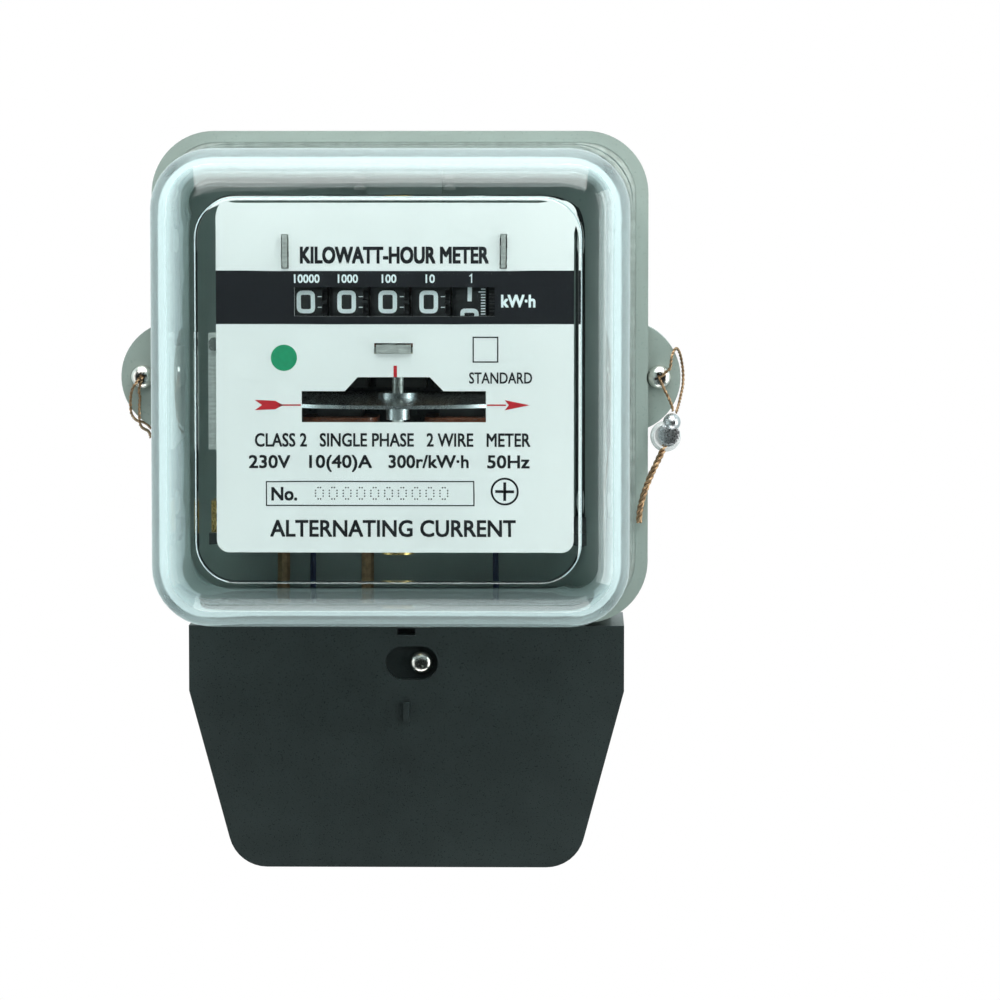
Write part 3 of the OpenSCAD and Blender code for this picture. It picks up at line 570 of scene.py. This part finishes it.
def round_corners(points, radius, closed=False, steps=5):
    """The same route with its corners rounded."""
    out = []
    count = len(points)
    for i, p in enumerate(points):
        if not closed and i in (0, count - 1):
            out.append(p)
            continue
        here = Vector(p)
        back = Vector(points[i - 1]) - here
        on = Vector(points[(i + 1) % count]) - here
        reach = min(radius, back.length / 2, on.length / 2)
        a = here + back.normalized() * reach
        b = here + on.normalized() * reach
        for k in range(steps + 1):
            t = k / steps
            q = a * (1 - t) ** 2 + here * 2 * t * (1 - t) + b * t * t
            out.append((q.x, q.y))
    return out


def circle_points(x, z, r, steps=24):
    return [(x + r * math.cos(2 * math.pi * i / steps), z + r * math.sin(2 * math.pi * i / steps))
            for i in range(steps)]


REGISTER_X = (-23.4, 25.4)
REGISTER_Z = (17.55, 24.65)
BAND_Z = (15.6, 28.6)


def print_plate():
    """The nameplate's printing: register band, headings, ratings, marks and the disc's arrow."""
    black = Print("plate_print_black", INK_BLACK)
    left, right = PLATE_LOW.x, PLATE_HIGH.x
    black.box(left, right, REGISTER_Z[1], BAND_Z[1])
    black.box(left, right, BAND_Z[0], REGISTER_Z[0])
    black.box(left, REGISTER_X[0], *REGISTER_Z)
    black.box(REGISTER_X[1], right, *REGISTER_Z)
    black.text("KILOWATT-HOUR METER", 1.0, 32.6, 4.4, 45.9, 0.34)
    black.text("CLASS 2   SINGLE PHASE   2 WIRE   METER", 0.5, -12.5, 3.5, 67.4, 0.16)
    for words, x, width in (("230V", -29.6, 10.2), ("10(40)A", -12.2, 15.4),
                            ("300r/kW·h", 9.3, 19.6), ("50Hz", 28.8, 10.4)):
        black.text(words, x, -17.8, 3.4, width, 0.2)
    black.stroke([(-30.4, -28.7), (20.3, -28.7), (20.3, -22.8), (-30.4, -22.8)], 0.28, closed=True)
    black.text("No.", -26.0, -25.7, 3.6, 6.4, 0.24)
    black.text("ALTERNATING CURRENT", 0.6, -34.2, 4.4, 60.0, 0.22)
    black.stroke([(20.2, 6.4), (26.2, 6.4), (26.2, 12.4), (20.2, 12.4)], 0.32, closed=True)
    black.text("STANDARD", 26.9, 2.6, 2.9, 15.4, 0.1)
    black.stroke(circle_points(27.9, -25.2, 3.2, 32), 0.5, closed=True)
    black.stroke([(25.6, -25.2), (30.2, -25.2)], 0.7)
    black.stroke([(27.9, -27.5), (27.9, -22.9)], 0.7)
    dotted_number(black, "0000000000", -18.3, 15.4, -25.7)
    black.done()

    white = Print("plate_print_white", INK_WHITE)
    for place, node in enumerate(DRUM_NODES):
        words = str(10 ** place)
        x = drum_middle(node) + 0.1
        if place:
            white.text(words, x, 26.8, 2.2, 1.33 * len(words) - 0.4, 0.12)
        else:
            white.stroke([(x - 0.45, 27.3), (x + 0.05, 27.75), (x + 0.05, 25.7)], 0.26)
    white.text("kW·h", 31.2, 21.3, 3.3, 8.4, 0.24)
    raise_print(white)
    white.done()

    red = Print("plate_print_red", INK_RED)
    axis_z = -4.1
    red.box(0.75, 1.6, 2.7, 5.5)
    red.box(-27.2, -21.9, axis_z - 0.18, axis_z + 0.18)
    red.outline([(-33.2, axis_z - 1.25), (-28.2, axis_z - 1.05), (-26.2, axis_z), (-28.2, axis_z + 1.05),
                 (-33.2, axis_z + 1.25), (-31.4, axis_z)])
    red.box(23.6, 28.2, axis_z - 0.18, axis_z + 0.18)
    red.outline([(27.9, axis_z - 1.25), (34.0, axis_z), (27.9, axis_z + 1.25), (28.9, axis_z)])
    red.done()

    green = Print("plate_print_green", INK_GREEN)
    green.outline(circle_points(-26.0, 7.4, 3.2, 40))
    green.done()


def raise_print(layer):
    """Lifts a second layer of ink off the first."""
    for v in layer.bm.verts:
        v.co.y -= INK * MM


def dotted_number(layer, digits, x0, x1, z):
    """A number stamped as small dots."""
    rows = ("0110", "1001", "1001", "1001", "0110")
    pitch = (x1 - x0) / len(digits)
    for i in range(len(digits)):
        for row, marks in enumerate(rows):
            for column, mark in enumerate(marks):
                if mark == "1":
                    x = x0 + pitch * i + 0.62 * column
                    layer.outline(circle_points(x, z + 1.4 - 0.7 * row, 0.2, 6))


# ------------------------------------------------------------------ register drums

DIGIT_W = 3.5
DIGIT_H = 4.6
DIGIT_LINE = 1.05
W, H = DIGIT_W / 2, DIGIT_H / 2
DIGITS = {
    0: [([(-W, -H), (W, -H), (W, H), (-W, H)], True)],
    1: [([(0, H), (0, -H)], False)],
    2: [([(-W, 0.45 * H), (-W, H), (W, H), (W, 0.1 * H), (-W, -0.7 * H), (-W, -H), (W, -H)], False)],
    3: [([(-W, H), (W, H), (W, 0.02 * H), (-0.2 * W, 0.02 * H)], False),
        ([(W, 0.0), (W, -H), (-W, -H)], False)],
    4: [([(0.45 * W, -H), (0.45 * W, H), (-W, -0.3 * H), (W, -0.3 * H)], False)],
    5: [([(W, H), (-W, H), (-W, 0.1 * H), (W, 0.1 * H), (W, -H), (-W, -H)], False)],
    6: [([(0.8 * W, H), (-W, H), (-W, -H), (W, -H), (W, 0.1 * H), (-0.7 * W, 0.1 * H)], False)],
    7: [([(-W, H), (W, H), (-0.1 * W, -H)], False)],
    8: [([(-W, 0.05 * H), (W, 0.05 * H), (W, H), (-W, H)], True),
        ([(-W, -0.1 * H), (-W, -H), (W, -H), (W, -0.1 * H)], False)],
    9: [([(-0.8 * W, -H), (W, -H), (W, H), (-W, H), (-W, -0.1 * H), (0.7 * W, -0.1 * H)], False)],
}


def drum_middle(node):
    """Sideways place of the middle of a drum's rim; its gear ring and locking ring stick out."""
    place = DRUM_NODES.index(node)
    return DRUM_MID_X + DRUM_PITCH * (2 - place)


SHAFT_LOW, SHAFT_HIGH = (Vector(c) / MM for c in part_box("drum_shaft"))
DRUM_DEPTH = -(SHAFT_LOW.y + SHAFT_HIGH.y) / 2
DRUM_Z = (SHAFT_LOW.z + SHAFT_HIGH.z) / 2
DRUM_R = (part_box("drum_tens")[1][2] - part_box("drum_tens")[0][2]) / 2 / MM
DRUM_PITCH = 10.0
DRUM_MID_X = -0.4
DRUM_HALF = 3.65


def wrap(x, u, v, lift):
    """A point on a drum: u sideways and v up the rim, in millimetres, from the drum's middle."""
    a = v / DRUM_R
    r = DRUM_R + lift
    return at(x + u, DRUM_DEPTH + r * math.cos(a), DRUM_Z + r * math.sin(a))


def print_drum(node, reading):
    """The ten numerals of a drum, standing at the reading given, with the marks beside them."""
    x = drum_middle(node)
    pitch = 2 * math.pi * DRUM_R / 10
    bm = bmesh.new()

    def ribbon(points, width, closed, v0, u0=-0.35):
        left, right = offset_sides(points, width, closed)
        rows = [[bm.verts.new(wrap(x, q[0] + u0, q[1] + v0, lift)) for q in side]
                for side in (left, right) for lift in (0.04, 0.0)]
        outer_l, inner_l, outer_r, inner_r = rows
        last = len(points) if closed else len(points) - 1
        for i in range(last):
            j = (i + 1) % len(points)
            for a, b in ((outer_l, outer_r), (inner_r, inner_l), (inner_l, outer_l), (outer_r, inner_r)):
                bm.faces.new((a[i], a[j], b[j], b[i]))
        if not closed:
            for i in (0, last):
                bm.faces.new((outer_l[i], outer_r[i], inner_r[i], inner_l[i]))

    for digit, strokes in DIGITS.items():
        v0 = -(digit - reading) * pitch
        for points, closed in strokes:
            line = fine_route(round_corners(points, 1.0, closed, 4), closed)
            ribbon(line, DIGIT_LINE, closed, v0)
        if node != "drum_units":
            for step in (-1.3, 1.3):
                ribbon([(2.6, step), (3.6, step)], 0.18, False, v0, 0)
    if node == "drum_units":
        for i in range(100):
            reach = 1.7 if i % 10 == 0 else 1.1
            ribbon([(DRUM_HALF - 0.1 - reach, 0), (DRUM_HALF - 0.1, 0)], 0.3, False,
                   (i / 10 + reading) * pitch, 0)
    mesh = bpy.data.meshes.new(node + "_numerals")
    bmesh.ops.recalc_face_normals(bm, faces=bm.faces)
    bm.to_mesh(mesh)
    bm.free()
    obj = bpy.data.objects.new(node + "_numerals", mesh)
    bpy.context.scene.collection.objects.link(obj)
    dress(obj, "drum_black", node + "_body", material=INK_WHITE)


def fine_route(points, closed, step=0.7):
    """Adds points so that a long straight stroke still follows the drum's rim."""
    out = []
    count = len(points)
    for i in range(count if closed else count - 1):
        a, b = Vector(points[i]), Vector(points[(i + 1) % count])
        parts = max(1, math.ceil((b - a).length / step))
        out += [tuple(a + (b - a) * k / parts) for k in range(parts)]
    if not closed:
        out.append(points[-1])
    return out


# ------------------------------------------------------------------ screws, seals and wires

def pan_screw(name, centre, radius, height, shank_to, shank_r):
    """A domed screw head with a cross recess, facing front, and its shank."""
    profile = [(shank_r, -shank_to), (shank_r, 0), (radius * 0.97, 0), (radius, 0.25)]
    for i in range(1, 9):
        a = math.radians(11.25 * i)
        profile.append((radius * math.cos(a) ** 0.8, 0.25 + (height - 0.25) * math.sin(a)))
    profile = profile[:-1] + [(0.05, height)]
    head = lathe(name, profile, centre)
    for turn in (20, 110):
        slot = bpy.data.meshes.new("slot")
        bm = bmesh.new()
        bmesh.ops.create_cube(bm, size=1)
        wide, thick = radius * 1.25 * MM, radius * 0.3 * MM
        for v in bm.verts:
            taper = 1.0 if v.co.z > 0 else 0.35
            v.co = Vector((v.co.x * wide * taper, v.co.y * thick * taper, v.co.z * 3 * MM))
        spin = Matrix.Rotation(math.radians(turn), 4, "Z")
        face = Matrix.Rotation(math.radians(90), 4, "X")
        place = Matrix.Translation(centre + at(0, height, 0))
        bmesh.ops.transform(bm, matrix=place @ face @ spin, verts=bm.verts)
        bm.to_mesh(slot)
        bm.free()
        cutter = bpy.data.objects.new("slot", slot)
        bpy.context.scene.collection.objects.link(cutter)
        cut(head, cutter, smooth=35)
    return head


def build_screws():
    low, high = (Vector(c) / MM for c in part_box("cover_screws"))
    radius = high.z
    heads = []
    for side, edge in ((-1, low.x), (1, high.x)):
        centre = at(edge - side * radius, -low.y - 2.4, 0)
        heads.append(pan_screw(f"screw_{side}", centre, radius, 2.4, 20, 1.9))
    dress(join("cover_screw_pair", heads), "nickel", "main_cover", "cover_screws")
    low, high = (Vector(c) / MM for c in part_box("terminal_cover_screw"))
    radius = (high.x - low.x) / 2
    centre = at((low.x + high.x) / 2, -low.y - 2.6, (low.z + high.z) / 2)
    screw = pan_screw("terminal_cover_seal_screw", centre, radius, 2.6, 10, 1.9)
    dress(screw, "nickel", "terminal_lid_screw", "terminal_cover_screw")


RIGHT_WIRE = [(69.1, 36.9, 2.4), (69.4, 36.8, 4.2), (69.8, 35.8, 6), (70.6, 34.4, 7.3), (71.3, 32.4, 6.9),
              (72, 30.6, 5), (72.6, 29.6, 1.5), (72.6, 30, -2), (72, 31.6, -5), (71.3, 34, -7.6),
              (70.8, 35.8, -9)]
RIGHT_WIRE_LOW = [(67.9, 36.9, -3.4), (68.8, 37.2, -5.2), (69.6, 37.2, -7.2), (69.9, 36.9, -8.6)]
RIGHT_TAIL = [(66.4, 39.4, -20.4), (65.3, 40, -22.6), (63.9, 40.3, -25.6), (62.8, 40.2, -28.6),
              (61.9, 40, -31.6), (61.4, 39.8, -34.2), (61.2, 39.6, -37)]
LEFT_WIRE = [(-68.8, 36.2, -2.9), (-69.3, 35.7, -4.6), (-69.5, 35, -6.6), (-69.4, 34.8, -9),
             (-69, 33.4, -10.4), (-68.3, 30, -11.5), (-67.4, 24, -12.2), (-66.6, 19, -13.2),
             (-66.2, 16.4, -14.2)]
LEFT_WIRE_LOW = [(-67.2, 36, -3.6), (-67, 35.3, -5.4), (-67.2, 34.9, -7.4), (-67.2, 34.8, -11.4),
                 (-66.9, 33.2, -12.9), (-66.6, 28, -13.8), (-66.3, 22, -14.6), (-66.2, 18, -15.6),
                 (-66.2, 16.4, -16.6)]


def route(points, *before):
    """A route in metres, led through a screw head's cross hole first where one is given."""
    return [at(*p) for p in list(before) + points]


def build_seals():
    """The twisted sealing wires, the loose tail and both seals."""
    head_in = [(66.2, 35.6, -0.6), (67.9, 36.5, 1.2)]
    head_low = [(66.2, 35.6, 0.5), (67.1, 36.4, -1.7)]
    wires = join("right_seal_wires", [twisted("upper", route(RIGHT_WIRE, *head_in), 0.42 * MM),
                                      twisted("lower", route(RIGHT_WIRE_LOW, *head_low), 0.42 * MM)])
    dress(wires, "copper", "main_cover", "seal_wire_right")
    tail = twisted("right_seal_tail", route(RIGHT_TAIL, (67.8, 38.6, -17.4)), 0.85 * MM, 3, 0.0045)
    dress(tail, "copper", "main_cover", "seal_tail_right")
    wires = join("left_seal_wires", [
        twisted("upper", route(LEFT_WIRE, (-66.4, 35.6, 0.5), (-67.8, 36.4, -1.4)), 0.42 * MM),
        twisted("lower", route(LEFT_WIRE_LOW, (-66.2, 35.6, 0.2), (-66.8, 36.4, -1.8)), 0.42 * MM)])
    dress(wires, "copper", "main_cover", "seal_wire_left")

    body = lathe("right_seal_body", [(0.3, 0), (3.3, 0), (3.8, 0.4), (3.9, 1.0), (3.9, 2.4), (3.6, 3.0),
                                     (3.0, 3.3), (2.7, 3.0), (2.4, 2.7), (0.3, 2.6)],
                 at(68, 36.2, -15))
    dress(body, "seal_metal", "main_cover", "seal_right", material=SEAL_CLEAR)
    knob = [(0.1, -2.2)] + [(2.25 * math.cos(math.radians(a)), 2.25 * math.sin(math.radians(a)))
                            for a in range(-75, 76, 15)] + [(0.1, 2.2)]
    ball = lathe("right_seal_ball", knob, at(69.6, 38.6, -11.3))
    slug = lathe("right_seal_slug", [(0.2, 0), (2.6, 0), (2.8, 0.3), (2.7, 0.9), (2, 1.2), (0.2, 1.1)],
                 at(68.9, 38.8, -14.4))
    dress(join("right_seal_crimp", [ball, slug]), "seal_metal", "main_cover")
    left = lathe("left_seal_body", [(0.3, -1), (3.6, -1), (4, -0.6), (4, 0.6), (3.6, 1), (2.8, 0.8),
                                    (2.4, 0.5), (0.3, 0.5)], at(-64.6, 16, -18.4), (-1, 0, 0))
    dress(left, "seal_metal", "main_cover", "seal_left")


# ------------------------------------------------------------------ light and camera

def lamp(name, place, target, size, power, colour=(1, 0.99, 0.97)):
    """A rectangular area lamp at a place in metres, turned toward a target."""
    data = bpy.data.lights.new(name, "AREA")
    data.shape = "RECTANGLE"
    data.size, data.size_y = size
    data.energy = power
    data.color = colour
    obj = bpy.data.objects.new(name, data)
    obj.location = place
    obj.rotation_euler = (Vector(target) - Vector(place)).to_track_quat("-Z", "Y").to_euler()
    bpy.context.scene.collection.objects.link(obj)


def fall_off(tree, seen_from, strength):
    """A smooth change of the light's strength with one component of the direction."""
    node = tree.nodes.new("ShaderNodeMapRange")
    node.interpolation_type = "SMOOTHSTEP"
    for name, value in zip(("From Min", "From Max", "To Min", "To Max"), seen_from + strength):
        node.inputs[name].default_value = value
    return node


def build_studio():
    """White surroundings for the camera, a light that weakens toward the front, and five lamps."""
    world = bpy.data.worlds.new("studio")
    bpy.context.scene.world = world
    world.use_nodes = True
    tree = world.node_tree
    tree.nodes.clear()
    new = tree.nodes.new
    out = new("ShaderNodeOutputWorld")
    seen = new("ShaderNodeBackground")
    seen.inputs["Color"].default_value = (1, 1, 1, 1)
    lit = new("ShaderNodeBackground")
    lit.inputs["Color"].default_value = (0.86, 1.0, 1.0, 1)
    where = new("ShaderNodeTexCoord")
    axes = new("ShaderNodeSeparateXYZ")
    back = fall_off(tree, (-0.8, 0.1), (0.02, 1.1))
    above = fall_off(tree, (-0.9, 0.5), (0.6, 1.0))
    both = new("ShaderNodeMath")
    both.operation = "MULTIPLY"
    path = new("ShaderNodeLightPath")
    mix = new("ShaderNodeMixShader")
    links(tree,
          (where.outputs["Generated"], axes.inputs["Vector"]), (axes.outputs["Y"], back.inputs["Value"]),
          (axes.outputs["Z"], above.inputs["Value"]), (back.outputs["Result"], both.inputs[0]),
          (above.outputs["Result"], both.inputs[1]), (both.outputs["Value"], lit.inputs["Strength"]),
          (path.outputs["Is Camera Ray"], mix.inputs["Fac"]), (lit.outputs["Background"], mix.inputs[1]),
          (seen.outputs["Background"], mix.inputs[2]), (mix.outputs["Shader"], out.inputs["Surface"]))
    middle = (0, -0.08, 0)
    lamp("top_box", (0, -0.53, 0.78), middle, (1.1, 0.8), 12)
    lamp("right_box", (0.84, -0.42, 0), middle, (0.4, 1.1), 5)
    lamp("left_box", (-0.84, -0.42, 0), middle, (0.35, 1.1), 1.3)
    lamp("low_box", (0, -0.36, -0.86), middle, (1.1, 0.3), 3.2)
    lamp("key", (-0.45, -1.5, 0.85), middle, (0.7, 0.5), 2)

    bpy.context.scene.view_settings.view_transform = "Standard"


def build_camera():
    """A long lens slightly to the right of the meter and slightly above it."""
    data = bpy.data.cameras.new("camera")
    data.lens = 163.5
    data.sensor_width = 36
    data.clip_start = 0.05
    camera = bpy.data.objects.new("camera", data)
    camera.location = (0.046, -1.2, 0.051)
    aim = Vector((0.0256, -0.038, -0.0314))
    camera.rotation_euler = (aim - camera.location).to_track_quat("-Z", "Y").to_euler()
    bpy.context.scene.collection.objects.link(camera)
    bpy.context.scene.camera = camera


build_camera()
build_studio()
dress_cad_nodes()
for node_name, edge_width in (("cover_ring", 0.9), ("base_shell", 0.8), ("terminal_cover", 1.6)):
    soften(node_name, edge_width)
build_glass()
print_plate()
for drum_node, drum_reading in zip(DRUM_NODES, (1.36, 0, 0, 0, 0)):
    print_drum(drum_node, drum_reading)
build_screws()
build_seals()
